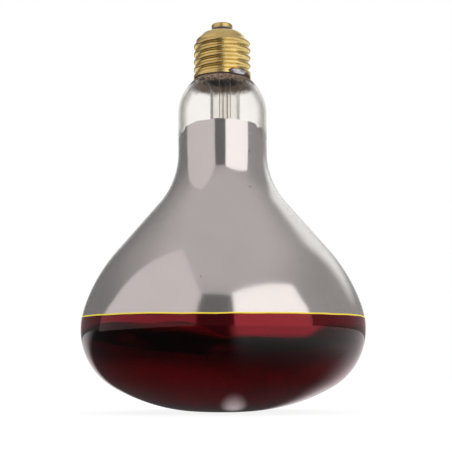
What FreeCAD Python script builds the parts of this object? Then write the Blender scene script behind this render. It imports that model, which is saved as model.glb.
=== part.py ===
import FreeCAD, Part
import math
import os

# Infrared heat lamp: a blown reflector bulb with a mirrored bowl, a ruby coat over its face
# and an Edison screw cap cemented on its neck. Millimetres throughout.
# The lamp stands on the middle of its domed face, which is the origin, with +Z up to the cap.
# Every turned form is drawn as half a section, radius across and height up, and turned once.

# Outer form of the bulb, from the middle of the face up to the neck. All its arcs are tangent.
BULB_D = 127.0
FACE_CROWN_R = 205.0
FACE_CROWN_EDGE = 14.0
FACE_ARC_R = 81.0
FACE_CORNER_R = 30.0
BOWL_ARC_R = 32.6
BOWL_ARC_ANGLE = 18.6
BOWL_LONG_ARC_R = 73.4
CONE_ANGLE = 40.7
NECK_BEND_R = 36.0
NECK_D = 40.8
NECK_LENGTH = 18.0
SHOULDER_R = 21.0

# Glass wall, the ruby coat on it and the mirror film inside it
GLASS_WALL = 1.0
RUBY_COAT = 0.15
RUBY_EDGE_Z = 41.2
MIRROR_FILM = 0.15
MIRROR_LOW_Z = 31.0
MIRROR_BELOW_NECK_TOP = 7.0

# Collar of the bulb, which stands up inside the cap, and the stem that is sealed in it
COLLAR_D = 21.2
COLLAR_WALL = 1.1
COLLAR_FILLET_R = 2.0
COLLAR_RISE = 6.6
SEAL_BELOW_RIM = 0.8
STEM_TUBE_D = 13.7
STEM_WALL = 1.0
STEM_OFFSET_X = 1.2
FLARE_HEIGHT = 9.0
FLARE_LIP = 5.5
STEM_TUBE_LENGTH = 18.0
PRESS_TAPER = 9.0
PRESS_LENGTH = 13.0
PRESS_W = 16.4
PRESS_T = 4.4
PRESS_MID_SPREAD = 0.4
EXHAUST_D = 3.0
EXHAUST_BORE = 1.6
EXHAUST_TIP = 4.0
ROD_D = 2.6
ROD_LENGTH = 15.0
BUTTON_D = 5.0

# Cap: rolled sheet shell with an Edison thread of equal crest and root arcs
SHEET = 0.35
THREAD_D = 26.2
THREAD_PITCH = 3.629
THREAD_ARC_R = 1.025
THREAD_CREST_RISE = 2.22
THREAD_RUN_IN = 1.6
THREAD_RUN_OUT = 4.8
SKIRT_STEP = 0.025
SKIRT_H = 0.9
RIM_GAP = 0.7
CROWN_RISE = 15.9
CROWN_BEND_R = 4.0
CROWN_CONE_ANGLE = 37.0
CROWN_CONE_LENGTH = 2.6
CROWN_TOP_BEND_R = 3.6
CROWN_TOP_ANGLE = 72.0
CROWN_MOUTH_D = 12.2
INSULATOR_RISE = 1.4
INSULATOR_DEPTH = 3.2
INSULATOR_BORE = 3.6
CONTACT_D = 9.7
CONTACT_H = 2.3
CONTACT_EDGE_R = 0.9
CONTACT_SHEET = 0.4
EYELET_D = 3.2
EYELET_DEPTH = 1.2
EYELET_FILL = 0.6
SOLDER_PAD_D = 4.4
SOLDER_PAD_EDGE_D = 3.8
SOLDER_PAD_EDGE_H = 0.35
SOLDER_PAD_TOP_D = 2.6
SOLDER_PAD_H = 0.5
SIDE_SOLDER_ANGLE = -54.0
SIDE_SOLDER_W = 8.8
SIDE_SOLDER_H = 2.7
SIDE_SOLDER_T = 1.3
SIDE_SOLDER_RISE = 1.4
SHELL_SEAT = 0.01
CEMENT_DEPTH = 4.6
CEMENT_BEAD = 0.3

# Wires and the coiled filament, which hangs in a ring on four hooks
LEAD_D = 0.5
LEAD_SPACING = 4.9
LEAD_BEND_R = 1.0
LEAD_LEAN = 2.5
RIM_BEND_R = 0.27
RIM_WIRE_RISE = 1.8
SKIRT_WIRE_RISE = 1.6
GAP_WIRE_RISE = 3.2
SEAL_WIRE_D = 0.35
SEAL_WIRE_LENGTH = 9.0
INNER_LEAD_D = 0.8
INNER_LEAD_DROP = 8.0
INNER_LEAD_BEND_R = 1.2
SUPPORT_D = 0.4
SUPPORT_COUNT = 4
SUPPORT_BEND_R = 0.8
SUPPORT_BEND_IN = 1.5
FILAMENT_RING_D = 32.0
FILAMENT_COIL_D = 1.6
FILAMENT_GAP_ANGLE = 50.0
FILAMENT_BELOW_PRESS = 17.0
HOOK_CLEARANCE = 0.1

# Clearance between pieces that are curved or crimped and must not touch
SEAT = 0.05

V = FreeCAD.Vector
UP = V(0, 0, 1)


def ring_point(radius, angle, z):
    """A point at a radius and a bearing in degrees, at height z."""
    a = math.radians(angle)
    return V(radius * math.cos(a), radius * math.sin(a), z)


class Section:
    """Half a section in the XZ plane, drawn edge after edge and then turned about the axis."""

    def __init__(self, r, z):
        self.start = V(r, 0, z)
        self.at = self.start
        self.edges = []

    def line(self, r, z):
        end = V(r, 0, z)
        if end.distanceToPoint(self.at) > 1e-7:
            self.edges.append(Part.LineSegment(self.at, end).toShape())
        self.at = end

    def arc(self, centre, radius, start_angle, end_angle):
        """An arc about (r, z) between two angles in degrees, reached by a line where one is needed."""
        cr, cz = centre
        points = []
        for angle in (start_angle, (start_angle + end_angle) / 2, end_angle):
            a = math.radians(angle)
            points.append(V(cr + radius * math.cos(a), 0, cz + radius * math.sin(a)))
        self.line(points[0].x, points[0].z)
        self.edges.append(Part.Arc(self.at, points[1], points[2]).toShape())
        self.at = points[2]

    def follow(self, arcs):
        for arc in arcs:
            self.arc(*arc)

    def back(self, arcs):
        for centre, radius, start_angle, end_angle in reversed(arcs):
            self.arc(centre, radius, end_angle, start_angle)

    def outline(self):
        self.line(self.start.x, self.start.z)
        return Part.Wire(self.edges)

    def turned(self):
        return Part.Face(self.outline()).revolve(V(0, 0, 0), UP, 360)


def cylinder(d, z0, z1, x=0.0):
    return Part.makeCylinder(d / 2, z1 - z0, V(x, 0, z0))


def wire_along(points, d, bend_r):
    """Round wire through the points, with each corner rounded to the bend radius."""
    edges = []
    at = points[0]
    for corner, after in zip(points[1:-1], points[2:]):
        back = (at - corner).normalize()
        on = (after - corner).normalize()
        half = back.getAngle(on) / 2
        reach = bend_r / math.tan(half)
        middle = corner + (back + on).normalize() * (bend_r / math.sin(half) - bend_r)
        edges.append(Part.LineSegment(at, corner + back * reach).toShape())
        edges.append(Part.Arc(corner + back * reach, middle, corner + on * reach).toShape())
        at = corner + on * reach
    edges.append(Part.LineSegment(at, points[-1]).toShape())
    path = Part.Wire(edges)
    ring = Part.Wire(Part.makeCircle(d / 2, points[0], points[1] - points[0]))
    return path.makePipeShell([ring], True, True)


# Outer form of the bulb: the arc angles and heights that follow from its sizes

BULB_R = BULB_D / 2
NECK_R = NECK_D / 2
CROWN_ANGLE = math.degrees(math.asin(FACE_CROWN_EDGE / FACE_CROWN_R))
FACE_ARC_REACH = BULB_R - FACE_CORNER_R - (FACE_CROWN_R - FACE_ARC_R) * math.sin(math.radians(CROWN_ANGLE))
FACE_ARC_ANGLE = math.degrees(math.asin(FACE_ARC_REACH / (FACE_ARC_R - FACE_CORNER_R)))


def stepped(centre, radius, next_radius, angle):
    """Centre of the arc that carries on, tangent, from the end of an arc at an angle."""
    a = math.radians(angle)
    step = radius - next_radius
    return (centre[0] + step * math.cos(a), centre[1] + step * math.sin(a))


CROWN_CENTRE = (0.0, FACE_CROWN_R)
FACE_ARC_CENTRE = stepped(CROWN_CENTRE, FACE_CROWN_R, FACE_ARC_R, CROWN_ANGLE - 90)
CORNER_CENTRE = stepped(FACE_ARC_CENTRE, FACE_ARC_R, FACE_CORNER_R, FACE_ARC_ANGLE - 90)
WIDEST_Z = CORNER_CENTRE[1]
BOWL_CENTRE = (BULB_R - BOWL_ARC_R, WIDEST_Z)
LONG_CENTRE = stepped(BOWL_CENTRE, BOWL_ARC_R, BOWL_LONG_ARC_R, BOWL_ARC_ANGLE)
CONE_SIN = math.sin(math.radians(CONE_ANGLE))
CONE_COS = math.cos(math.radians(CONE_ANGLE))
CONE_LOW = (LONG_CENTRE[0] + BOWL_LONG_ARC_R * CONE_COS, LONG_CENTRE[1] + BOWL_LONG_ARC_R * CONE_SIN)
CONE_HIGH_R = NECK_R + NECK_BEND_R * (1 - CONE_COS)
CONE_HIGH_Z = CONE_LOW[1] + (CONE_LOW[0] - CONE_HIGH_R) * CONE_COS / CONE_SIN
NECK_Z = CONE_HIGH_Z + NECK_BEND_R * CONE_SIN
BEND_CENTRE = (NECK_R + NECK_BEND_R, NECK_Z)
NECK_TOP_Z = NECK_Z + NECK_LENGTH
SHOULDER_CENTRE = (NECK_R - SHOULDER_R, NECK_TOP_Z)


def bulb_arcs(inset):
    """Arcs of the bulb from the middle of its face up to the neck, set in from its outer form."""
    return [
        (CROWN_CENTRE, FACE_CROWN_R - inset, -90, CROWN_ANGLE - 90),
        (FACE_ARC_CENTRE, FACE_ARC_R - inset, CROWN_ANGLE - 90, FACE_ARC_ANGLE - 90),
        (CORNER_CENTRE, FACE_CORNER_R - inset, FACE_ARC_ANGLE - 90, 0),
        (BOWL_CENTRE, BOWL_ARC_R - inset, 0, BOWL_ARC_ANGLE),
        (LONG_CENTRE, BOWL_LONG_ARC_R - inset, BOWL_ARC_ANGLE, CONE_ANGLE),
        (BEND_CENTRE, NECK_BEND_R + inset, 180 + CONE_ANGLE, 180),
    ]


def skin(outer_inset, inner_inset, z0, z1):
    """A film between two insets of the bulb's form and between two heights."""
    section = Section(0, outer_inset)
    section.follow(bulb_arcs(outer_inset))
    section.line(NECK_R - outer_inset, NECK_TOP_Z)
    section.line(NECK_R - inner_inset, NECK_TOP_Z)
    section.back(bulb_arcs(inner_inset))
    return section.turned().common(cylinder(2 * BULB_D, z0, z1))


# Heights of the seal and the cap on the shoulder

GLASS_SHOULDER_R = SHOULDER_R - RUBY_COAT
GLASS_IN = RUBY_COAT + GLASS_WALL
COLLAR_R = COLLAR_D / 2
COLLAR_BORE_R = COLLAR_R - COLLAR_WALL
SKIRT_R = THREAD_D / 2 + SKIRT_STEP
CAP_BORE_R = SKIRT_R - SHEET


def shoulder_z(r, radius=GLASS_SHOULDER_R, centre=SHOULDER_CENTRE):
    return centre[1] + math.sqrt(radius ** 2 - (r - centre[0]) ** 2)


RIM_Z = shoulder_z(CAP_BORE_R) + RIM_GAP
FILLET_REACH = COLLAR_R + COLLAR_FILLET_R - SHOULDER_CENTRE[0]
FILLET_Z = NECK_TOP_Z + math.sqrt((GLASS_SHOULDER_R + COLLAR_FILLET_R) ** 2 - FILLET_REACH ** 2)
FILLET_ANGLE = math.degrees(math.atan2(FILLET_Z - NECK_TOP_Z, FILLET_REACH))
SHOULDER_ARCS = [
    (SHOULDER_CENTRE, GLASS_SHOULDER_R, 0, FILLET_ANGLE),
    ((COLLAR_R + COLLAR_FILLET_R, FILLET_Z), COLLAR_FILLET_R, FILLET_ANGLE + 180, 180),
]
COLLAR_TOP_Z = RIM_Z + COLLAR_RISE
SEAL_Z = RIM_Z - SEAL_BELOW_RIM
INNER_NECK_R = NECK_R - GLASS_IN
INNER_RISE = SEAL_Z - NECK_TOP_Z
INNER_STEP = INNER_NECK_R - COLLAR_BORE_R
INNER_SHOULDER_R = (INNER_RISE ** 2 + INNER_STEP ** 2) / (2 * INNER_STEP)
INNER_SHOULDER_CENTRE = (INNER_NECK_R - INNER_SHOULDER_R, NECK_TOP_Z)
INNER_SHOULDER_ANGLE = math.degrees(math.asin(INNER_RISE / INNER_SHOULDER_R))


def glass_envelope():
    """The blown bulb: face, bowl, neck, a shoulder that thickens to the seal, and the collar."""
    s = Section(0, RUBY_COAT)
    s.follow(bulb_arcs(RUBY_COAT) + SHOULDER_ARCS)
    s.line(COLLAR_R, COLLAR_TOP_Z)
    s.line(COLLAR_BORE_R, COLLAR_TOP_Z)
    s.line(COLLAR_BORE_R, SEAL_Z)
    s.arc(INNER_SHOULDER_CENTRE, INNER_SHOULDER_R, INNER_SHOULDER_ANGLE, 0)
    s.back(bulb_arcs(GLASS_IN))
    return s.turned()


# Stem: a flared tube sealed in the collar, pressed flat round the wires at its lower end

LIP_LOW_Z = COLLAR_TOP_Z - FLARE_LIP
FLARE_LOW_Z = LIP_LOW_Z - FLARE_HEIGHT
TUBE_LOW_Z = FLARE_LOW_Z - STEM_TUBE_LENGTH
PRESS_TOP_Z = TUBE_LOW_Z - PRESS_TAPER
PRESS_LOW_Z = PRESS_TOP_Z - PRESS_LENGTH
FLARE_STEPS = 6
FLARE_POWER = 2.4


def flare_loft(tube_r, lip_r, low_z, high_z):
    """Trumpet from the tube to the lip, leaning back from the tube's offset to the lamp's axis."""
    rings = []
    for step in range(FLARE_STEPS + 1):
        t = step / FLARE_STEPS
        r = tube_r + (lip_r - tube_r) * t ** FLARE_POWER
        x = STEM_OFFSET_X * (1 - t * t * (3 - 2 * t))
        rings.append(Part.Wire(Part.makeCircle(r, V(x, 0, low_z + (high_z - low_z) * t))))
    return Part.makeLoft(rings, True, False)


def oval(width, thickness, z):
    edge = Part.Ellipse(V(STEM_OFFSET_X, 0, z), width / 2, thickness / 2).toShape()
    return Part.Wire(edge)


def press_taper():
    """The tube where it is squeezed from round to the flat oval of the press."""
    mid_w = STEM_TUBE_D + PRESS_MID_SPREAD * (PRESS_W - STEM_TUBE_D)
    mid_t = (STEM_TUBE_D + PRESS_T) / 2
    return Part.makeLoft([
        Part.Wire(Part.makeCircle(STEM_TUBE_D / 2, V(STEM_OFFSET_X, 0, TUBE_LOW_Z))),
        oval(mid_w, mid_t, TUBE_LOW_Z - PRESS_TAPER / 2),
        oval(PRESS_W, PRESS_T, PRESS_TOP_Z),
    ], True, False)


def stem_tube():
    tube_r = STEM_TUBE_D / 2
    bore_r = tube_r - STEM_WALL
    lip = cylinder(2 * COLLAR_BORE_R, LIP_LOW_Z, COLLAR_TOP_Z)
    barrel = cylinder(STEM_TUBE_D, TUBE_LOW_Z, FLARE_LOW_Z, STEM_OFFSET_X)
    press = Part.Face(oval(PRESS_W, PRESS_T, PRESS_LOW_Z)).extrude(V(0, 0, PRESS_LENGTH))
    flare = flare_loft(tube_r, COLLAR_BORE_R, FLARE_LOW_Z, LIP_LOW_Z)
    outer = lip.fuse([flare, barrel, press_taper(), press])
    bore = cylinder(2 * bore_r, TUBE_LOW_Z, FLARE_LOW_Z, STEM_OFFSET_X)
    bore = bore.fuse([
        flare_loft(bore_r, COLLAR_BORE_R - STEM_WALL, FLARE_LOW_Z, LIP_LOW_Z),
        cylinder(2 * (COLLAR_BORE_R - STEM_WALL), LIP_LOW_Z, COLLAR_TOP_Z),
        Part.makeSphere(bore_r, V(STEM_OFFSET_X, 0, TUBE_LOW_Z)),
    ])
    stem = outer.cut(bore)
    for wire in seal_wires() + outer_leads() + inner_leads():
        stem = stem.cut(wire)
    return stem.removeSplitter()


BORE_LOW_Z = TUBE_LOW_Z - (STEM_TUBE_D / 2 - STEM_WALL)


def exhaust_tube():
    """Thin tube that the bulb was pumped through, closed to a drawn tip inside the cap."""
    top_z = COLLAR_TOP_Z + EXHAUST_TIP
    r = EXHAUST_D / 2
    body = cylinder(EXHAUST_D, BORE_LOW_Z, top_z - r, STEM_OFFSET_X)
    tip = Part.makeCone(r, r / 4, r, V(STEM_OFFSET_X, 0, top_z - r))
    foot = Part.makeSphere(STEM_TUBE_D / 2 - STEM_WALL, V(STEM_OFFSET_X, 0, TUBE_LOW_Z))
    bore = cylinder(EXHAUST_BORE, BORE_LOW_Z, top_z - EXHAUST_D, STEM_OFFSET_X)
    block = cylinder(EXHAUST_D, BORE_LOW_Z, TUBE_LOW_Z, STEM_OFFSET_X)
    return body.fuse(tip).cut(bore).cut(block.cut(foot)).removeSplitter()


# Wires: outer leads up to the cap, seal wires in the press, inner leads down to the filament

LEAD_X = (STEM_OFFSET_X - LEAD_SPACING / 2, STEM_OFFSET_X + LEAD_SPACING / 2)
SEAL_HIGH_Z = PRESS_LOW_Z + (PRESS_TOP_Z - PRESS_LOW_Z + SEAL_WIRE_LENGTH) / 2
SEAL_LOW_Z = SEAL_HIGH_Z - SEAL_WIRE_LENGTH
FILAMENT_Z = PRESS_LOW_Z - FILAMENT_BELOW_PRESS

# Heights up the cap, and the thread's arcs, which meet at the flank angle

FLANK = math.degrees(math.asin(THREAD_PITCH / 4 / THREAD_ARC_R))
CREST_ARC_R = THREAD_D / 2 - THREAD_ARC_R
ROOT_R = THREAD_D / 2 - 2 * THREAD_ARC_R * (1 - math.cos(math.radians(FLANK)))
ROOT_ARC_R = ROOT_R + THREAD_ARC_R
SKIRT_Z = RIM_Z + SKIRT_H
CROWN_Z = RIM_Z + CROWN_RISE


def crown_arcs(inset):
    """The two bends that close the shell in towards its mouth, with a cone between them."""
    low = (ROOT_R - CROWN_BEND_R, CROWN_Z)
    a = math.radians(CROWN_CONE_ANGLE)
    run = CROWN_BEND_R - CROWN_TOP_BEND_R
    high = (low[0] + run * math.cos(a) - CROWN_CONE_LENGTH * math.sin(a),
            low[1] + run * math.sin(a) + CROWN_CONE_LENGTH * math.cos(a))
    return [
        (low, CROWN_BEND_R - inset, 0, CROWN_CONE_ANGLE),
        (high, CROWN_TOP_BEND_R - inset, CROWN_CONE_ANGLE, CROWN_TOP_ANGLE),
    ]


def crown_end(inset):
    centre, radius, _, angle = crown_arcs(inset)[1]
    a = math.radians(angle)
    return centre[0] + radius * math.cos(a), centre[1] + radius * math.sin(a)


MOUTH_R = CROWN_MOUTH_D / 2
MOUTH_Z = crown_end(0)[1] + (crown_end(0)[0] - MOUTH_R) / math.tan(math.radians(CROWN_TOP_ANGLE))
MOUTH_LOW_Z = MOUTH_Z - SHEET / math.sin(math.radians(CROWN_TOP_ANGLE))
INSULATOR_TOP_Z = MOUTH_Z + INSULATOR_RISE
CONTACT_TOP_Z = INSULATOR_TOP_Z + CONTACT_H
TOP_Z = CONTACT_TOP_Z + SOLDER_PAD_H


# The thread's section runs round the axis as it climbs, so the shell is one closed curve at
# each level, and its skin is drawn through the curves of all levels

RING_POINTS = 36
LEVELS_PER_TURN = 20


def thread_height(rise, inset):
    """How far the thread's skin stands out from its root, at a height above a crest."""
    half = THREAD_PITCH / 2
    from_crest = abs((rise + half) % THREAD_PITCH - half)
    crest = THREAD_ARC_R - inset
    root = THREAD_ARC_R + inset
    if from_crest < crest * math.sin(math.radians(FLANK)):
        r = CREST_ARC_R + math.sqrt(crest ** 2 - from_crest ** 2)
    else:
        r = ROOT_ARC_R - math.sqrt(root ** 2 - (half - from_crest) ** 2)
    return r - (ROOT_R - inset)


def shell_levels(inset):
    """Root radius and height of every level, evenly spaced from the rim up and over the crown."""
    end_r, end_z = crown_end(inset)
    last_r = MOUTH_R - SHEET
    s = Section(ROOT_R - inset, RIM_Z - 2 * inset)
    s.follow(crown_arcs(inset))
    s.line(last_r, end_z + (end_r - last_r) / math.tan(math.radians(CROWN_TOP_ANGLE)))
    path = Part.Wire(s.edges)
    points = path.discretize(Number=math.ceil(path.Length * LEVELS_PER_TURN / THREAD_PITCH))
    return [(point.x, point.z) for point in points]


def level_curve(root_r, z, inset):
    """Closed curve of the skin at one level: plain at the skirt, fading out over the crown."""
    thread = min(max(1 - (z - CROWN_Z) / THREAD_RUN_OUT, 0.0), 1.0)
    out = min(max((z - SKIRT_Z) / THREAD_RUN_IN, 0.0), 1.0)
    skirt = 1 - out * out * (3 - 2 * out)
    rise = z - RIM_Z - THREAD_CREST_RISE
    points = []
    for i in range(RING_POINTS):
        share = i / RING_POINTS
        r = root_r + thread * thread_height(rise - THREAD_PITCH * share, inset)
        r += (SKIRT_R - inset - r) * skirt
        points.append(ring_point(r, 360 * share, z))
    curve = Part.BSplineCurve()
    shares = [i / RING_POINTS for i in range(RING_POINTS + 1)]
    curve.interpolate(Points=points, PeriodicFlag=True, Parameters=shares)
    return curve


def shell_form(inset):
    """Skirt, thread and crown as a solid, set in from the shell's outer face."""
    curves = [level_curve(r, z, inset) for r, z in shell_levels(inset)]
    surface = Part.BSplineSurface()
    surface.buildFromNSections(curves)
    lids = [Part.Face(Part.Wire(curve.toShape())) for curve in (curves[0], curves[-1])]
    form = Part.makeShell([surface.toShape()] + lids)
    form.sewShape()
    return Part.Solid(form)


def cap_shell():
    mouth = cylinder(2 * MOUTH_R, CROWN_Z, TOP_Z)
    return shell_form(0).cut(shell_form(SHEET)).cut(mouth)


def cap_insulator():
    """Black glass in the mouth of the shell, with a cone that shows under the contact."""
    low_r = CONTACT_D / 2
    bore_r = INSULATOR_BORE / 2
    s = Section(bore_r, INSULATOR_TOP_Z)
    s.line(low_r, INSULATOR_TOP_Z)
    s.line(MOUTH_R - SEAT, MOUTH_Z)
    s.line(MOUTH_R - SEAT, MOUTH_LOW_Z - SEAT)
    s.back(crown_arcs(SHEET + SEAT))
    s.line(bore_r, CROWN_Z)
    return s.turned().common(cylinder(THREAD_D, MOUTH_LOW_Z - INSULATOR_DEPTH, INSULATOR_TOP_Z))


def centre_contact():
    """Pressed disc with a rounded edge and an eyelet down into the insulator."""
    r = CONTACT_D / 2
    eyelet_r = EYELET_D / 2
    hole_r = eyelet_r - CONTACT_SHEET
    s = Section(hole_r, INSULATOR_TOP_Z - EYELET_DEPTH)
    s.line(eyelet_r, INSULATOR_TOP_Z - EYELET_DEPTH)
    s.line(eyelet_r, INSULATOR_TOP_Z)
    s.line(r, INSULATOR_TOP_Z)
    s.arc((r - CONTACT_EDGE_R, CONTACT_TOP_Z - CONTACT_EDGE_R), CONTACT_EDGE_R, 0, 90)
    s.line(hole_r, CONTACT_TOP_Z)
    return s.turned()


def centre_solder():
    """Solder that fills the eyelet round the wire and stands on the contact as a pressed pad."""
    hole_r = EYELET_D / 2 - CONTACT_SHEET
    s = Section(0, INSULATOR_TOP_Z - EYELET_FILL)
    s.line(hole_r, INSULATOR_TOP_Z - EYELET_FILL)
    s.line(hole_r, CONTACT_TOP_Z)
    s.line(SOLDER_PAD_D / 2, CONTACT_TOP_Z)
    s.line(SOLDER_PAD_EDGE_D / 2, CONTACT_TOP_Z + SOLDER_PAD_EDGE_H)
    s.line(SOLDER_PAD_TOP_D / 2, TOP_Z)
    s.line(0, TOP_Z)
    return s.turned().cut(outer_leads()[0])


RIM_WIRE_R = SKIRT_R + LEAD_D / 2 + SEAT
GAP_WIRE_R = (COLLAR_R + ROOT_R - SHEET) / 2
SKIRT_WIRE_R = CAP_BORE_R - LEAD_D / 2 - SEAT


def outer_leads():
    """One lead rises to the centre contact, the other comes back out at the rim to be soldered."""
    bearing = SIDE_SOLDER_ANGLE
    over_z = COLLAR_TOP_Z + LEAD_D
    under_z = RIM_Z - LEAD_D / 2 - SEAT
    to_contact = wire_along([
        V(LEAD_X[0], 0, SEAL_HIGH_Z),
        V(LEAD_X[0], 0, COLLAR_TOP_Z + LEAD_LEAN),
        V(0, 0, INSULATOR_TOP_Z - INSULATOR_DEPTH - LEAD_LEAN),
        V(0, 0, CONTACT_TOP_Z),
    ], LEAD_D, LEAD_BEND_R)
    to_rim = wire_along([
        V(LEAD_X[1], 0, SEAL_HIGH_Z),
        V(LEAD_X[1], 0, over_z),
        ring_point(GAP_WIRE_R, bearing, over_z),
        ring_point(GAP_WIRE_R, bearing, RIM_Z + GAP_WIRE_RISE),
        ring_point(SKIRT_WIRE_R, bearing, RIM_Z + SKIRT_WIRE_RISE),
        ring_point(SKIRT_WIRE_R, bearing, under_z),
        ring_point(RIM_WIRE_R, bearing, under_z),
        ring_point(RIM_WIRE_R, bearing, RIM_Z + RIM_WIRE_RISE),
    ], LEAD_D, RIM_BEND_R)
    return [to_contact, to_rim]


def seal_wires():
    return [cylinder(SEAL_WIRE_D, SEAL_LOW_Z, SEAL_HIGH_Z, x) for x in LEAD_X]


def filament_end(side):
    """Where the filament stops on each side of the gap in its ring."""
    return ring_point(FILAMENT_RING_D / 2, 90 + side * FILAMENT_GAP_ANGLE / 2, FILAMENT_Z)


def inner_leads():
    """Stout leads that spread from the press to the two ends of the filament."""
    leads = []
    for side, x in ((1, LEAD_X[0]), (-1, LEAD_X[1])):
        end = filament_end(side)
        leads.append(wire_along([
            V(x, 0, SEAL_LOW_Z),
            V(x, 0, PRESS_LOW_Z - INNER_LEAD_DROP / 2),
            V(end.x, end.y, PRESS_LOW_Z - INNER_LEAD_DROP),
            V(end.x, end.y, FILAMENT_Z + FILAMENT_COIL_D / 2),
        ], INNER_LEAD_D, INNER_LEAD_BEND_R))
    return leads


def side_solder():
    """Solder lump that wraps the wire's end and fills the start of the thread above the rim."""
    lump = Part.makeSphere(1.0)
    stretch = FreeCAD.Matrix()
    stretch.scale(SIDE_SOLDER_T, SIDE_SOLDER_W / 2, SIDE_SOLDER_H / 2)
    lump = lump.transformGeometry(stretch)
    lump.translate(V(SKIRT_R, 0, RIM_Z + SIDE_SOLDER_RISE))
    lump.rotate(V(0, 0, 0), UP, SIDE_SOLDER_ANGLE)
    return lump.cut([shell_form(-SHELL_SEAT), outer_leads()[1]])


def basing_cement():
    """Cement between the collar and the cap, with a thin bead below the rim."""
    bead_z = RIM_Z - CEMENT_BEAD
    top_z = RIM_Z + CEMENT_DEPTH
    fill_r = ROOT_R - SHEET - SEAT
    skirt_r = CAP_BORE_R - SHELL_SEAT
    fill = Section(0, bead_z)
    fill.line(skirt_r, bead_z)
    fill.line(skirt_r, SKIRT_Z)
    fill.line(fill_r, SKIRT_Z)
    fill.line(fill_r, top_z)
    fill.line(0, top_z)
    glass = Section(0, NECK_TOP_Z)
    glass.follow(SHOULDER_ARCS)
    glass.line(COLLAR_R, top_z)
    glass.line(0, top_z)
    return fill.turned().cut(glass.turned()).cut(outer_leads()[1])


# Filament and what carries it: a rod under the press, a button and hooked wires

BUTTON_Z = PRESS_LOW_Z - ROD_LENGTH


def button_rod():
    """Glass cane below the press, melted to a button that grips the hooks."""
    cane = cylinder(ROD_D, BUTTON_Z, PRESS_LOW_Z, STEM_OFFSET_X)
    button = Part.makeSphere(BUTTON_D / 2, V(STEM_OFFSET_X, 0, BUTTON_Z))
    rod = cane.fuse(button)
    for support in filament_supports():
        rod = rod.cut(support)
    return rod.removeSplitter()


def filament():
    """Coiled wire drawn as the tube that its coils fill, bent round in an open ring."""
    start = 90 + FILAMENT_GAP_ANGLE / 2
    turn = 360 - FILAMENT_GAP_ANGLE
    ring = Part.makeCircle(FILAMENT_COIL_D / 2, ring_point(FILAMENT_RING_D / 2, start, FILAMENT_Z),
                           ring_point(1, start + 90, 0))
    face = Part.Face(Part.Wire(ring))
    return face.revolve(V(0, 0, 0), UP, turn)


def filament_supports():
    """Wires that leave the button level and end in a loop round the filament."""
    supports = []
    loop_r = FILAMENT_COIL_D / 2 + HOOK_CLEARANCE + SUPPORT_D / 2
    start = 90 + FILAMENT_GAP_ANGLE / 2
    step = (360 - FILAMENT_GAP_ANGLE) / SUPPORT_COUNT
    hub = V(STEM_OFFSET_X, 0, BUTTON_Z)
    for i in range(SUPPORT_COUNT):
        bearing = start + (i + 0.5) * step
        on_ring = ring_point(FILAMENT_RING_D / 2, bearing, FILAMENT_Z)
        tangent = ring_point(1, bearing + 90, 0)
        loop = Part.makeTorus(loop_r, SUPPORT_D / 2, on_ring, tangent)
        outward = V(on_ring.x - hub.x, on_ring.y - hub.y, 0).normalize()
        top = on_ring + UP * loop_r
        arm = wire_along([
            hub + outward * (BUTTON_D / 4),
            V(top.x, top.y, BUTTON_Z) - outward * SUPPORT_BEND_IN,
            top,
        ], SUPPORT_D, SUPPORT_BEND_R)
        supports.append(arm.fuse(loop).removeSplitter())
    return supports


def parts():
    outer = outer_leads()
    seals = seal_wires()
    inner = inner_leads()
    made = {
        "glass_envelope": glass_envelope(),
        "ruby_coating": skin(0, RUBY_COAT, -1, RUBY_EDGE_Z),
        "reflector_coating": skin(GLASS_IN, GLASS_IN + MIRROR_FILM,
                                  MIRROR_LOW_Z, NECK_TOP_Z - MIRROR_BELOW_NECK_TOP),
        "stem_tube": stem_tube(),
        "exhaust_tube": exhaust_tube(),
        "button_rod": button_rod(),
        "cap_shell": cap_shell(),
        "cap_insulator": cap_insulator(),
        "centre_contact": centre_contact(),
        "centre_solder": centre_solder(),
        "side_solder": side_solder(),
        "basing_cement": basing_cement(),
        "centre_lead_outer": outer[0],
        "centre_lead_seal": seals[0],
        "centre_lead_inner": inner[0],
        "side_lead_outer": outer[1],
        "side_lead_seal": seals[1],
        "side_lead_inner": inner[1],
        "filament": filament(),
    }
    for i, support in enumerate(filament_supports(), 1):
        made["filament_support_%d" % i] = support
    return made


os.makedirs("parts", exist_ok=True)
for name, shape in parts().items():
    if len(shape.Solids) != 1 or not shape.isValid():
        raise ValueError("%s has %d solids" % (name, len(shape.Solids)))
    shape.Solids[0].exportStep("parts/%s.step" % name)
    print("%-20s %9.1f mm3  z %.2f to %.2f" % (name, shape.Volume, shape.BoundBox.ZMin, shape.BoundBox.ZMax))
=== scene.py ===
import math

import bmesh
import bpy
from bpy.props import FloatProperty, FloatVectorProperty, IntProperty, PointerProperty
from mathutils import Matrix, Vector, noise


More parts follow.
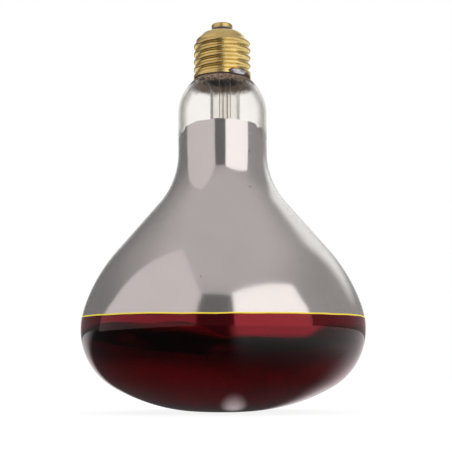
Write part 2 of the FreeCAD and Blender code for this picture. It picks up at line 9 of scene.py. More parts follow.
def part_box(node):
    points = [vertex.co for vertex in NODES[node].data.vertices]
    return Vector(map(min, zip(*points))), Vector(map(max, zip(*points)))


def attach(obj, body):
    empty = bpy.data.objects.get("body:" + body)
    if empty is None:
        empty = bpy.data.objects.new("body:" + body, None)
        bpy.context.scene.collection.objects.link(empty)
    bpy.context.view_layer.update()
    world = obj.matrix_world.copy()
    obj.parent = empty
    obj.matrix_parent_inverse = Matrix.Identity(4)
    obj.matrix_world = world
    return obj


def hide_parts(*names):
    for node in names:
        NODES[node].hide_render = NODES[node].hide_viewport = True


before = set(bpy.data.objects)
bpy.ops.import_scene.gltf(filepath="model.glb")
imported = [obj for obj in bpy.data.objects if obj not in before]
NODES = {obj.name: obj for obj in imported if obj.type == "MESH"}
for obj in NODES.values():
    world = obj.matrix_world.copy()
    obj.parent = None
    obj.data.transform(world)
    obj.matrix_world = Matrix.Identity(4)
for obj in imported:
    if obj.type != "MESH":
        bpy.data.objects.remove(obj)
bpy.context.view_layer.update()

bl_info = {
    "name": "Infrared heat lamp bulb",
    "version": (1, 0, 0),
    "blender": (4, 5, 0),
    "location": "3D View > Sidebar > Heat Lamp",
    "description": "Glass, ruby face, mirror, cap and stage of an infrared heat lamp bulb",
    "category": "Add Mesh",
}

MM = 0.001

# Points nearer to each other than this are one point, in metres
TOUCHING = 1e-7

# Corners of the stage's panels, in metres
RIGHT_BOX = [(0.153, -1.040, 0.0), (1.050, -0.345, 0.0), (1.050, -0.345, 1.0), (0.153, -1.040, 1.0)]
LEFT_BOX = [(-0.905, 0.366, 0.0), (-0.330, -0.890, 0.0), (-0.330, -0.870, 0.88), (-0.666, -0.094, 1.6)]
GAP_CLOTH = [(-0.330, -0.960, 0.0), (0.190, -1.090, 0.0), (0.190, -1.090, 0.97), (-0.330, -0.960, 0.93)]

# Drops of burnt flux: degrees from the solder, rise, and reach outward, round and upward, in millimetres
FLUX_DROPS = [(20, 0.1, (0.8, 2.2, 0.8)), (28, -0.1, (0.7, 1.3, 0.6)), (-1, 0.648, (0.3, 4.8, 1.6))]


def length(name, text, mm):
    return FloatProperty(name=name, description=text, default=mm * MM, unit="LENGTH", precision=5)


def bearing(name, text, degrees):
    return FloatProperty(name=name, description=text, default=math.radians(degrees), subtype="ANGLE")


def colour(name, text, rgb):
    return FloatVectorProperty(name=name, description=text, default=rgb, subtype="COLOR", size=3,
                               min=0, max=1)


def amount(name, text, value):
    return FloatProperty(name=name, description=text, default=value, min=0)


def count(name, text, value, least):
    return IntProperty(name=name, description=text, default=value, min=least)


class BulbSizes(bpy.types.PropertyGroup):
    """The blown bulb, drawn in tangent arcs from the middle of the face up to the neck"""
    width: length("Width", "Across the bulb where it is widest", 126.98)
    crown_r: length("Crown radius", "Radius of the middle of the face", 205)
    crown_edge: length("Crown edge", "How far out the middle of the face reaches", 14)
    face_r: length("Face radius", "Radius of the rest of the face", 81)
    corner_r: length("Corner radius", "Radius where the face turns up into the side", 30)
    bowl_r: length("Bowl radius", "Radius of the side above the widest part", 32.6)
    bowl_angle: bearing("Bowl angle", "Where the side's radius opens out", 18.6)
    long_r: length("Long bowl radius", "Radius of the upper bowl", 73.4)
    cone_angle: bearing("Cone angle", "Slope of the cone between bowl and neck", 40.7)
    bend_r: length("Neck bend radius", "Radius where the cone bends into the neck", 36)
    neck_d: length("Neck width", "Across the neck", 40.8)
    neck_length: length("Neck length", "Straight part of the neck", 18)
    shoulder_r: length("Shoulder radius", "Radius where the neck closes in under the cap", 21)
    coat: length("Coat", "How far the ruby coat stands out from the glass", 0.15)
    wall: length("Wall", "Thickness of the glass", 1.0)
    gap: length("Gap", "Space left between skins that touch on the real lamp", 0.02)
    collar_d: length("Collar width", "Across the glass collar inside the cap", 21.2)
    collar_wall: length("Collar wall", "Thickness of the collar", 1.1)
    collar_fillet: length("Collar fillet", "Radius where the shoulder turns up into the collar", 2)
    seal_below_rim: length("Seal below rim", "How far under the cap's rim the bore begins", 0.8)
    segments: count("Segments", "Faces round the bulb", 144, 24)
    step: length("Step", "Length of a face along the arcs", 1.6)


class CoatSizes(bpy.types.PropertyGroup):
    """Edges of the ruby coat and the mirror"""
    ruby_edge: length("Ruby edge", "Height where the ruby coat stops", 41.2)
    line: length("Yellow line", "Height of the yellow line on the coat's edge", 0.58)
    mirror_low: length("Mirror low edge", "Height where the mirror starts", 31.0)
    mirror_high: length("Mirror high edge", "Height where the mirror stops", 128.0)
    mirror_film: length("Mirror film", "Thickness of the mirror as drawn", 0.08)
    fade: length("Fade", "How far the waves of an edge of the face reach", 9.0)
    mirror_fade_high: length("Fade high", "The same at the mirror's upper edge", 8.0)
    mirror_fade_low: length("Fade low", "The same at the mirror's lower edge", 12.0)
    thin_above: length("Thin coat", "Height above which the ruby coat is thin", 33.0)
    thick_below: length("Thick coat", "Height below which it is thick", 29.0)
    deep_above: length("Deep red above", "Height above which the thick coat is darkest", 22.0)
    deep_below: length("Deep red below", "Height below which it thins out again", 12.0)
    left_rise: length("Left rise", "How much higher the thick coat reaches on the left", 4.5)
    right_rise: length("Right rise", "How much higher it reaches on the right", 5.0)
    window_low: length("Window foot", "Height where the clear window starts", 120.0)
    window_high: length("Window", "Height where the window is fully clear", 130.0)
    # Heights where the grey-brown films on the shoulder start; both grow denser towards the cap
    inner_film_low: length("Deposit", "Height where the grey deposit inside the shoulder starts", 145.0)
    film_step: length("Film step", "Length of a face along the deposit", 0.3)
    outer_film_low: length("Smear", "Height where the grey smear outside the shoulder starts", 145.3)


class WireSizes(bpy.types.PropertyGroup):
    """Filament, wire end and solder"""
    ring_d: length("Filament ring", "Across the ring of the filament", 32)
    coil_d: length("Coil", "Across the filament's coil", 1.5)
    coil_wire: length("Coil wire", "Thickness of the coiled wire", 0.26)
    coil_pitch: length("Coil pitch", "From one turn of the coil to the next", 0.62)
    coil_steps: count("Coil steps", "Points in one turn of the coil", 10, 6)
    wire_sides: count("Wire sides", "Faces round the coiled wire", 6, 3)
    ring_gap: bearing("Ring gap", "Opening of the filament's ring", 50)
    solder_bearing: bearing("Solder bearing", "Where the side solder sits, from +X", -55)
    solder_w: length("Solder width", "Length of the solder lump round the cap", 9.0)
    solder_h: length("Solder height", "Height of the solder lump", 2.7)
    solder_rise: length("Solder rise", "How far its middle lies above the rim", 0.648)
    solder_t: length("Solder thickness", "How far the lump stands out", 1.15)


class Finishes(bpy.types.PropertyGroup):
    """Colours, refraction and roughness of the finishes"""
    glass: colour("Glass", "Clear glass", (0.972, 0.962, 0.948))
    ruby: colour("Ruby", "Light that passes the ruby coat once near its edge", (0.52, 0.045, 0.10))
    ruby_dark: colour("Dark ruby", "The same lower down, where the coat is thicker", (0.10, 0.004, 0.010))
    line: colour("Line", "Yellow line at the coat's edge", (1.0, 0.80, 0.06))
    mirror: colour("Mirror", "Mirror film", (0.79, 0.775, 0.785))
    mirror_dull: colour("Dull mirror", "Mirror film where it is thinner", (0.73, 0.715, 0.72))
    brass: colour("Brass", "Clean brass", (0.85, 0.65, 0.25))
    tarnish: colour("Tarnish", "Tarnished brass", (0.36, 0.24, 0.11))
    insulator: colour("Insulator", "Moulded glass round the contact", (0.020, 0.012, 0.055))
    solder: colour("Solder", "Tin solder", (0.66, 0.65, 0.68))
    flux: colour("Flux", "Burnt flux", (0.11, 0.062, 0.036))
    cement: colour("Cement", "Basing cement", (0.17, 0.135, 0.105))
    # Grey-brown film on the shoulder and its darker grains, denser towards the cap
    shoulder_film: colour("Deposit", "Grey-brown deposit on the shoulder", (0.60, 0.46, 0.355))
    shoulder_film_dark: colour("Dark deposit", "Its darker grains", (0.21, 0.158, 0.118))
    lead: colour("Lead", "Plated lead wires", (0.74, 0.71, 0.68))
    nickel: colour("Nickel", "Seal wires and supports", (0.60, 0.58, 0.54))
    tungsten: colour("Tungsten", "Filament", (0.33, 0.33, 0.34))
    clear_ior: amount("Clear glass", "Refraction of the clear bulb", 1.20)
    stem_ior: amount("Stem glass", "Refraction of the stem", 1.2)
    ruby_ior: amount("Ruby glass", "Refraction of the ruby face", 1.34)
    clear_rough: amount("Clear haze", "Roughness of the clear bulb", 0.08)
    stem_rough: amount("Stem haze", "Roughness of the stem", 0.1)
    ruby_rough: amount("Ruby haze", "Roughness of the ruby face", 0.02)
    mirror_rough: amount("Mirror haze", "Roughness of the mirror", 0.11)
    shell_rough: amount("Shell", "Roughness of the brass shell", 0.20)
    contact_rough: amount("Contact", "Roughness of the brass contact", 0.28)
    # Painted glow: the thin yellow line gives off light though it is no lamp
    line_painted_glow: amount("Line glow", "Light that the thin yellow line lets through", 0.3)


class StageSettings(bpy.types.PropertyGroup):
    """Camera, lights and floor"""
    camera: FloatVectorProperty(name="Camera", description="Where the camera stands", size=3,
                                default=(0.001417, -0.5169, 0.0153), subtype="XYZ", unit="LENGTH",
                                precision=5)
    pitch: bearing("Pitch", "How far the camera looks up", 7.5)
    roll: bearing("Roll", "How far the camera leans", 0.2624)
    lens: amount("Lens", "Focal length in millimetres on 36 mm", 91.6)
    floor_size: length("Floor", "Across the floor", 8000)
    right_light: amount("Right softbox", "Strength of the white softbox", 1.23)
    right_tint: colour("Right tint", "Colour of the white softbox", (1.0, 0.955, 0.94))
    left_light: amount("Left softbox", "Strength of the dimmer softbox", 0.70)
    left_tint: colour("Left tint", "Colour of the dimmer softbox", (1.0, 0.92, 0.915))
    gap_light: amount("Dark gap", "Brightness of the dark gap between the softboxes", 0.155)
    ceiling: colour("Ceiling", "Light from overhead", (0.55, 0.52, 0.515))
    floor_shown: amount("Floor shown", "Strength of the white floor to the camera", 1.35)
    floor_share: amount("Floor share", "Share of the shown floor that takes no shadow", 0.65)
    floor_dim: amount("Dim floor", "Glow of the floor that is in the lamp's shade", 0.08)
    floor_lit: amount("Lit floor", "What the softbox adds to the rest of it", 0.85)
    pool_light: amount("Pool", "Light gathered under the lamp's face", 1.1)
    pool_side: length("Pool to the right", "Where the gathered light lies", 4.6)
    pool_back: length("Pool to the front", "The same towards the front", 26.0)
    walls: colour("Walls", "Light from the walls, low down", (0.27, 0.26, 0.26))
    white_wall: colour("White wall", "Light from the wall behind the lamp", (0.97, 0.96, 0.945))


# Half sections

class Outline:
    """Half a section: points of radius and height along tangent arcs."""

    def __init__(self, step):
        self.step = step
        self.points = []

    def to(self, r, z):
        if not self.points or math.dist(self.points[-1], (r, z)) > TOUCHING:
            self.points.append((r, z))

    def arc(self, centre, radius, start, end, nominal=None):
        count = max(2, math.ceil(abs(end - start) * (nominal or radius) / self.step))
        for i in range(count + 1):
            a = start + (end - start) * i / count
            self.to(centre[0] + radius * math.cos(a), centre[1] + radius * math.sin(a))

    def line(self, r, z):
        r0, z0 = self.points[-1]
        count = max(1, math.ceil(math.dist((r0, z0), (r, z)) / self.step))
        for i in range(1, count + 1):
            self.to(r0 + (r - r0) * i / count, z0 + (z - z0) * i / count)


def stepped(centre, radius, next_radius, angle):
    """Centre of the arc that carries on, tangent, from an arc's end."""
    step = radius - next_radius
    return centre[0] + step * math.cos(angle), centre[1] + step * math.sin(angle)


def bulb_line(s, inset):
    """The bulb's outline from the axis to the top of the neck, set in by a distance."""
    half = math.pi / 2
    bulb_r = s.width / 2
    neck_r = s.neck_d / 2
    crown = math.asin(s.crown_edge / s.crown_r)
    reach = bulb_r - s.corner_r - (s.crown_r - s.face_r) * math.sin(crown)
    face = math.asin(reach / (s.face_r - s.corner_r))
    crown_c = (0.0, s.crown_r)
    face_c = stepped(crown_c, s.crown_r, s.face_r, crown - half)
    corner_c = stepped(face_c, s.face_r, s.corner_r, face - half)
    bowl_c = (bulb_r - s.bowl_r, corner_c[1])
    long_c = stepped(bowl_c, s.bowl_r, s.long_r, s.bowl_angle)
    sin, cos = math.sin(s.cone_angle), math.cos(s.cone_angle)
    cone_r = neck_r + s.bend_r * (1 - cos)
    cone_z = long_c[1] + s.long_r * sin + (long_c[0] + s.long_r * cos - cone_r) * cos / sin
    neck_z = cone_z + s.bend_r * sin
    line = Outline(s.step)
    line.arc(crown_c, s.crown_r - inset, -half, crown - half, s.crown_r)
    line.arc(face_c, s.face_r - inset, crown - half, face - half, s.face_r)
    line.arc(corner_c, s.corner_r - inset, face - half, 0, s.corner_r)
    line.arc(bowl_c, s.bowl_r - inset, 0, s.bowl_angle, s.bowl_r)
    line.arc(long_c, s.long_r - inset, s.bowl_angle, s.cone_angle, s.long_r)
    bend_c = (neck_r + s.bend_r, neck_z)
    bend_start = (bend_c[0] - (s.bend_r + inset) * cos, bend_c[1] - (s.bend_r + inset) * sin)
    line.line(*bend_start)
    line.arc(bend_c, s.bend_r + inset, math.pi + s.cone_angle, math.pi, s.bend_r)
    line.line(neck_r - inset, neck_z + s.neck_length)
    return line.points


def inner_shoulder(neck_r, bore_r, neck_top, seal_z):
    """Centre and radius of the arc from the top of the neck's inside to the seal."""
    step = neck_r - bore_r
    radius = ((seal_z - neck_top) ** 2 + step ** 2) / (2 * step)
    return (neck_r - radius, neck_top), radius


def between(points, low, high):
    """The part of a rising line of points between two heights, with its ends on them."""
    kept = []
    for (r0, z0), (r1, z1) in zip(points, points[1:]):
        if z1 <= low or z0 >= high:
            continue
        for z in (max(z0, low), min(z1, high)):
            share = (z - z0) / (z1 - z0)
            p = (r0 + (r1 - r0) * share, z)
            if not kept or math.dist(kept[-1], p) > TOUCHING:
                kept.append(p)
    return kept


def radius_at(points, z):
    """Radius of a rising line of points at a height."""
    for (r0, z0), (r1, z1) in zip(points, points[1:]):
        if z0 <= z <= z1 and z1 > z0:
            return r0 + (r1 - r0) * (z - z0) / (z1 - z0)
    return points[0][0] if z < points[0][1] else points[-1][0]


# Meshes

def turned(name, loop, segments):
    """A closed loop of points turned about the lamp's axis."""
    bm = bmesh.new()
    verts = [bm.verts.new((r, 0.0, z)) for r, z in loop]
    edges = [bm.edges.new(pair) for pair in zip(verts, verts[1:])]
    if loop[0][0] > TOUCHING or loop[-1][0] > TOUCHING:
        edges.append(bm.edges.new((verts[-1], verts[0])))
    bmesh.ops.spin(bm, geom=verts + edges, cent=(0, 0, 0), axis=(0, 0, 1), angle=2 * math.pi,
                   steps=segments, use_merge=True)
    bmesh.ops.remove_doubles(bm, verts=bm.verts, dist=TOUCHING)
    return finished(name, bm)


def linked(name, data):
    """A new object, linked to the scene."""
    piece = bpy.data.objects.new(name, data)
    bpy.context.scene.collection.objects.link(piece)
    return piece


def finished(name, bm):
    """Turns a bmesh into a smooth object."""
    bmesh.ops.recalc_face_normals(bm, faces=bm.faces)
    mesh = bpy.data.meshes.new(name)
    bm.to_mesh(mesh)
    bm.free()
    mesh.shade_smooth()
    return linked(name, mesh)


def sharpen(piece, degrees=50):
    """Keeps edges over an angle crisp."""
    piece.data.set_sharp_from_angle(angle=math.radians(degrees))


def slide(piece, outline, shift):
    """Moves points up or down a turned surface, so they stay on it, by shift(bearing, height)."""
    for v in piece.data.vertices:
        r = math.hypot(v.co.x, v.co.y)
        if r < TOUCHING:
            continue
        z = v.co.z + shift(math.atan2(v.co.y, v.co.x), v.co.z)
        wide = r + radius_at(outline, z) - radius_at(outline, v.co.z)
        v.co = (v.co.x * wide / r, v.co.y * wide / r, z)


def tube(name, path, radius, sides):
    """A round wire along a line of points, with closed ends."""
    bm = bmesh.new()
    side = None
    rings = []
    for i, p in enumerate(path):
        ahead = (path[min(i + 1, len(path) - 1)] - path[max(i - 1, 0)]).normalized()
        if side is None:
            side = ahead.orthogonal().normalized()
        side = (side - ahead * side.dot(ahead)).normalized()
        up = ahead.cross(side)
        rings.append([bm.verts.new(p + (side * math.cos(a) + up * math.sin(a)) * radius)
                      for a in (2 * math.pi * k / sides for k in range(sides))])
    for low, high in zip(rings, rings[1:]):
        for k in range(sides):
            bm.faces.new((low[k], low[(k + 1) % sides], high[(k + 1) % sides], high[k]))
    bm.faces.new(list(reversed(rings[0])))
    bm.faces.new(rings[-1])
    return finished(name, bm)


def smooth(x, low, high):
    t = min(1.0, max(0.0, (x - low) / (high - low)))
    return t * t * (3 - 2 * t)


def round_table(table, angle):
    """Value from (degrees, value) pairs round the lamp, eased from one to the next."""
    a = math.degrees(angle) % 360
    ring = table + [(table[0][0] + 360, table[0][1])]
    for (a0, v0), (a1, v1) in zip(ring, ring[1:]):
        if a0 <= a <= a1:
            return v0 + (v1 - v0) * smooth(a, a0, a1)
    return table[0][1]


def ripple(angle, seed, size):
    """Small unevenness round the lamp that closes on itself."""
    waves = 6
    return size * noise.noise(Vector((waves * math.cos(angle), waves * math.sin(angle), seed)))


def ruby_edge_shift(angle):
    """How far the coat's edge lies above its nominal height at a bearing."""
    table = [(0, 0.45), (60, 0.2), (110, 0.35), (180, 1.0), (225, 0.45), (268, -0.42), (300, -0.1),
             (330, 0.25)]
    return (round_table(table, angle) + ripple(angle, 3.1, 0.22)) * MM


def mirror_edge_shift(angle):
    """The same for the mirror's upper edge, with its two nicks."""
    table = [(0, -1.2), (50, -0.8), (90, 0.2), (140, -1.5), (180, -3.4), (207, -3.0), (213, -0.9), (240, 0.5),
             (270, 0.9), (300, 0.6), (320, -0.2), (324, -1.7), (329, -0.9)]
    return (round_table(table, angle) + ripple(angle, 9.4, 0.3)) * MM


def mirror_foot_shift(angle):
    """The same for the mirror's lower edge under the ruby coat."""
    table = [(0, 0.3), (90, -5.0), (180, 2.0), (215, 7.0), (256, 6.0), (274, 0.2), (300, -0.2), (330, 0.6)]
    return (round_table(table, angle) + ripple(angle, 5.5, 0.9)) * MM


# Materials

def new_material(name):
    material = bpy.data.materials.new(name)
    material.use_nodes = True
    material.node_tree.nodes.clear()
    return material, material.node_tree


def feed(tree, socket, value):
    """Links an input to another node's output, or gives it a value."""
    if isinstance(value, bpy.types.NodeSocket):
        tree.links.new(value, socket)
    elif socket.type == "RGBA" and len(value) == 3:
        socket.default_value = (*value, 1.0)
    else:
        socket.default_value = value


def put(tree, kind, **inputs):
    """Adds a node and feeds its inputs by name. Underscores stand for spaces."""
    node = tree.nodes.new(kind)
    for key, value in inputs.items():
        feed(tree, node.inputs[key.replace("_", " ")], value)
    return node


def fed(tree, kind, *values, **settings):
    """Adds a node with its settings and feeds its first inputs in order."""
    node = tree.nodes.new(kind)
    for key, value in settings.items():
        setattr(node, key, value)
    for socket, value in zip(node.inputs, values):
        feed(tree, socket, value)
    return node.outputs


def maths(tree, operation, a, b=0.0, clamp=False):
    return fed(tree, "ShaderNodeMath", a, b, operation=operation, use_clamp=clamp)[0]


def times(tree, a, b, clamp=False):
    return maths(tree, "MULTIPLY", a, b, clamp)


def plus(tree, a, b, clamp=False):
    return maths(tree, "ADD", a, b, clamp)


def blend_colour(tree, factor, a, b):
    node = tree.nodes.new("ShaderNodeMix")
    node.data_type = "RGBA"
    for index, value in ((0, factor), (6, a), (7, b)):
        feed(tree, node.inputs[index], value)
    return node.outputs[2]


def ramp(tree, value, low, high, to_low=0.0, to_high=1.0):
    return fed(tree, "ShaderNodeMapRange", value, low, high, to_low, to_high,
               interpolation_type="SMOOTHSTEP")[0]


def turn_ramp(tree, turn, low, high, to_low=0.0, to_high=1.0):
    """A ramp from one bearing to another, in degrees."""
    return ramp(tree, turn, math.radians(low), math.radians(high), to_low, to_high)


def object_place(tree):
    return put(tree, "ShaderNodeTexCoord").outputs["Object"]


def parts(tree, vector):
    """The three parts of a vector."""
    return put(tree, "ShaderNodeSeparateXYZ", Vector=vector).outputs


def object_height(tree):
    return parts(tree, object_place(tree))[2]


def azimuth(tree, vector):
    """Bearing of a vector round the lamp, nought towards the front and positive to the right."""
    x, y, _ = parts(tree, vector)
    return maths(tree, "ARCTAN2", x, times(tree, y, -1.0))


def output(tree, shader):
    put(tree, "ShaderNodeOutputMaterial", Surface=shader)


def group(name, inputs, outputs):
    """A shader node group with named sockets, and what it is given and makes."""
    tree = bpy.data.node_groups.new(name, "ShaderNodeTree")
    for label, value in inputs:
        socket = tree.interface.new_socket(label, in_out="INPUT", socket_type="NodeSocketFloat")
        socket.default_value = value
    for label in outputs:
        tree.interface.new_socket(label, in_out="OUTPUT", socket_type="NodeSocketFloat")
    return tree, tree.nodes.new("NodeGroupInput").outputs, tree.nodes.new("NodeGroupOutput").inputs


def placed(tree, name, **values):
    """Puts a node group in a material with its own values."""
    node = tree.nodes.new("ShaderNodeGroup")
    node.node_tree = bpy.data.node_groups[name]
    for key, value in values.items():
        node.inputs[key.replace("_", " ")].default_value = value
    return node.outputs


def cloud_group():
    """Soft uneven patches, for tarnish, dulling and thicker coat."""
    tree, given, made = group("Clouds", [("Scale", 60.0), ("Low", 0.4), ("High", 0.65), ("Flatten", 1.0)],
                              ["Mask"])
    x, y, z = parts(tree, object_place(tree))
    squeezed = put(tree, "ShaderNodeCombineXYZ", X=x, Y=y, Z=times(tree, z, given[3]))
    cloud = put(tree, "ShaderNodeTexNoise", Vector=squeezed.outputs[0], Scale=given[0], Detail=5.0,
                Roughness=0.6)
    tree.links.new(ramp(tree, cloud.outputs[0], given[1], given[2]), made[0])


def grain_group():
    """Fine grain with its height, for cast, baked and dull surfaces."""
    tree, given, made = group("Grain", [("Scale", 900.0), ("Low", 0.35), ("High", 0.65)], ["Mask", "Height"])
    grain = put(tree, "ShaderNodeTexNoise", Vector=object_place(tree), Scale=given[0], Detail=6.0,
                Roughness=0.7)
    tree.links.new(ramp(tree, grain.outputs[0], given[1], given[2]), made[0])
    tree.links.new(grain.outputs[0], made[1])


def turning_group():
    """Fine lines that run round the lamp's axis, as rolling leaves them."""
    tree, given, made = group("Turning lines", [("Fineness", 4000.0), ("Waviness", 40.0)], ["Mask", "Height"])
    place = object_place(tree)
    x, y, z = parts(tree, place)
    across = maths(tree, "SQRT", plus(tree, times(tree, x, x), times(tree, y, y)))
    run = maths(tree, "ARCTAN2", y, x)
    line = put(tree, "ShaderNodeCombineXYZ", X=times(tree, across, given[0]), Y=times(tree, run, 1.5),
               Z=times(tree, z, given[0]))
    lines = put(tree, "ShaderNodeTexNoise", Vector=line.outputs[0], Scale=1.0, Detail=2.0)
    waves = put(tree, "ShaderNodeTexNoise", Vector=place, Scale=given[1], Detail=1.0)
    tree.links.new(ramp(tree, lines.outputs[0], 0.35, 0.65), made[0])
    tree.links.new(plus(tree, times(tree, lines.outputs[0], 0.25), waves.outputs[0]), made[1])


def speck_group():
    """Sparse small specks: dust and pinholes."""
    tree, given, made = group("Specks", [("Scale", 300.0), ("Size", 0.12), ("Share", 0.1)], ["Mask"])
    cell = put(tree, "ShaderNodeTexVoronoi", Vector=object_place(tree), Scale=given[0], Randomness=1.0)
    spot = maths(tree, "LESS_THAN", cell.outputs["Distance"], given[1])
    tint = put(tree, "ShaderNodeSeparateColor", Color=cell.outputs["Color"]).outputs[0]
    tree.links.new(times(tree, spot, maths(tree, "LESS_THAN", tint, given[2])), made[0])


def bump(tree, height, strength, distance):
    return put(tree, "ShaderNodeBump", Height=height, Strength=strength, Distance=distance).outputs[0]


def mixed_shader(tree, factor, a, b):
    return fed(tree, "ShaderNodeMixShader", factor, a, b)[0]


def see_through_shadow(tree, surface, tint):
    """Lets light reach what is inside: shadow rays pass the glass with a tint."""
    light = put(tree, "ShaderNodeLightPath").outputs["Is Shadow Ray"]
    clear = put(tree, "ShaderNodeBsdfTransparent", Color=tint)
    return mixed_shader(tree, light, surface, clear.outputs[0])


def shaded(material, shadow=None, **inputs):
    """Gives a material its surface, and a tint to the light that passes it if it is clear."""
    tree = material.node_tree
    surface = put(tree, "ShaderNodeBsdfPrincipled", **inputs).outputs[0]
    output(tree, see_through_shadow(tree, surface, shadow) if shadow else surface)
    return material


def clear_glass(c, coats):
    """The clear bulb. Straight light passes the edges of its window, as it does through a thin wall."""
    material, tree = new_material("clear_glass")
    dust = placed(tree, "Specks", Scale=420.0, Size=0.10, Share=0.05)["Mask"]
    haze = placed(tree, "Clouds", Scale=55.0, Low=0.45, High=0.8, Flatten=0.5)["Mask"]
    base = blend_colour(tree, dust, c.glass, (0.55, 0.53, 0.50))
    rough = plus(tree, times(tree, haze, 0.05), times(tree, dust, 0.3))
    rough = plus(tree, rough, c.clear_rough)
    waves = placed(tree, "Turning lines", Fineness=120.0, Waviness=30.0)["Height"]
    surface = put(tree, "ShaderNodeBsdfPrincipled", Base_Color=base, Roughness=rough, IOR=c.clear_ior,
                  Transmission_Weight=1.0, Normal=bump(tree, waves, 0.12, 0.0004))
    facing = put(tree, "ShaderNodeLayerWeight", Blend=0.5).outputs["Facing"]
    window = ramp(tree, object_height(tree), coats.window_low, coats.window_high)
    straight = put(tree, "ShaderNodeBsdfTransparent", Color=(0.88, 0.87, 0.855))
    edge = times(tree, ramp(tree, facing, 0.35, 0.85, 0.0, 0.9), window)
    glass = mixed_shader(tree, edge, surface.outputs[0], straight.outputs[0])
    output(tree, see_through_shadow(tree, glass, (0.95, 0.94, 0.93)))
    return material


def stem_glass(c):
    material, tree = new_material("stem_glass")
    streak = placed(tree, "Turning lines", Fineness=60.0, Waviness=90.0)["Height"]
    haze = placed(tree, "Grain", Scale=700.0, Low=0.4, High=0.8)["Mask"]
    base = blend_colour(tree, haze, c.glass, (0.86, 0.84, 0.80))
    rough = plus(tree, times(tree, haze, 0.2), c.stem_rough)
    return shaded(material, (0.93, 0.92, 0.90), Base_Color=base, Roughness=rough, IOR=c.stem_ior,
                  Transmission_Weight=1.0, Normal=bump(tree, streak, 0.2, 0.0004))


def ruby_glass(c, coats):
    """The coated face: thin coat near its edge, thick below, higher up on both sides than in front."""
    material, tree = new_material("ruby_glass")
    patches = placed(tree, "Clouds", Scale=26.0, Low=0.35, High=0.75, Flatten=1.6)["Mask"]
    place = object_place(tree)
    turn = azimuth(tree, place)
    lean = plus(tree, turn_ramp(tree, turn, -25, 5, coats.left_rise, 0.0),
                turn_ramp(tree, turn, 30, 44, 0.0, coats.right_rise))
    height = maths(tree, "SUBTRACT", parts(tree, place)[2], lean)
    deep = ramp(tree, height, coats.deep_below, coats.deep_above, 0.62, 0.92)
    thick = times(tree, plus(tree, deep, times(tree, patches, 0.15)),
                  ramp(tree, height, coats.thick_below, coats.thin_above, 1.0, 0.0), clamp=True)
    dust = placed(tree, "Specks", Scale=260.0, Size=0.09, Share=0.06)["Mask"]
    waves = placed(tree, "Turning lines", Fineness=90.0, Waviness=22.0)["Height"]
    base = blend_colour(tree, thick, c.ruby, c.ruby_dark)
    rough = plus(tree, c.ruby_rough, times(tree, dust, 0.3))
    return shaded(material, (0.45, 0.03, 0.06), Base_Color=base, Roughness=rough, IOR=c.ruby_ior,
                  Transmission_Weight=1.0, Normal=bump(tree, waves, 0.10, 0.0004))


def yellow_line(c):
    material, tree = new_material("yellow_line")
    patch = placed(tree, "Clouds", Scale=180.0, Low=0.45, High=0.75, Flatten=1.0)["Mask"]
    base = blend_colour(tree, patch, c.line, (0.95, 0.62, 0.03))
    # The emission is a painted glow: the line gives off light though it is no lamp
    return shaded(material, Base_Color=base, Roughness=0.4, Emission_Color=c.line,
                  Emission_Strength=c.line_painted_glow)


def mirror(c):
    material, tree = new_material("mirror")
    dull = placed(tree, "Clouds", Scale=24.0, Low=0.4, High=0.8, Flatten=1.0)["Mask"]
    pits = placed(tree, "Specks", Scale=340.0, Size=0.13, Share=0.035)["Mask"]
    base = blend_colour(tree, pits, blend_colour(tree, dull, c.mirror, c.mirror_dull), (0.05, 0.045, 0.04))
    rough = plus(tree, c.mirror_rough, times(tree, dull, 0.05))
    waves = placed(tree, "Turning lines", Fineness=70.0, Waviness=26.0)["Height"]
    return shaded(material, Base_Color=base, Roughness=rough, Metallic=1.0,
                  Normal=bump(tree, waves, 0.12, 0.0005))


def brass(name, c, wear, roughness):
    material, tree = new_material(name)
    cloud = placed(tree, "Clouds", Scale=110.0, Low=0.38, High=0.75, Flatten=1.4)["Mask"]
    lines = placed(tree, "Turning lines", Fineness=7000.0, Waviness=140.0)
    spots = placed(tree, "Specks", Scale=700.0, Size=0.22, Share=0.10)["Mask"]
    worn = times(tree, cloud, wear, clamp=True)
    worn = maths(tree, "MAXIMUM", worn, times(tree, spots, 0.4))
    rough = plus(tree, times(tree, worn, 0.22), plus(tree, roughness, times(tree, lines["Mask"], 0.06)))
    return shaded(material, Base_Color=blend_colour(tree, worn, c.brass, c.tarnish), Roughness=rough,
                  Metallic=1.0, Normal=bump(tree, lines["Height"], 0.12, 0.00005))


def black_glass(c):
    material, tree = new_material("black_glass")
    waves = placed(tree, "Turning lines", Fineness=500.0, Waviness=300.0)
    return shaded(material, Base_Color=blend_colour(tree, waves["Mask"], c.insulator, (0.03, 0.02, 0.08)),
                  Roughness=0.14, Coat_Weight=0.4, Normal=bump(tree, waves["Height"], 0.2, 0.0001))


def grained_metal(name, metal, dark, roughness, scale, depth):
    """Metal with a fine cast or drawn grain: solder, wires and filament."""
    material, tree = new_material(name)
    grain = placed(tree, "Grain", Scale=scale, Low=0.4, High=0.75)
    rough = plus(tree, roughness, times(tree, grain["Mask"], 0.2))
    return shaded(material, Base_Color=blend_colour(tree, grain["Mask"], metal, dark), Roughness=rough,
                  Metallic=1.0, Normal=bump(tree, grain["Height"], 0.4, depth))


def grained_matt(name, pale, dark, roughness, scale, depth, strength=0.6):
    """Matt grained surface: cement and burnt flux."""
    material, tree = new_material(name)
    grain = placed(tree, "Grain", Scale=scale, Low=0.35, High=0.7)
    return shaded(material, Base_Color=blend_colour(tree, grain["Mask"], pale, dark), Roughness=roughness,
                  Normal=bump(tree, grain["Height"], strength, depth))


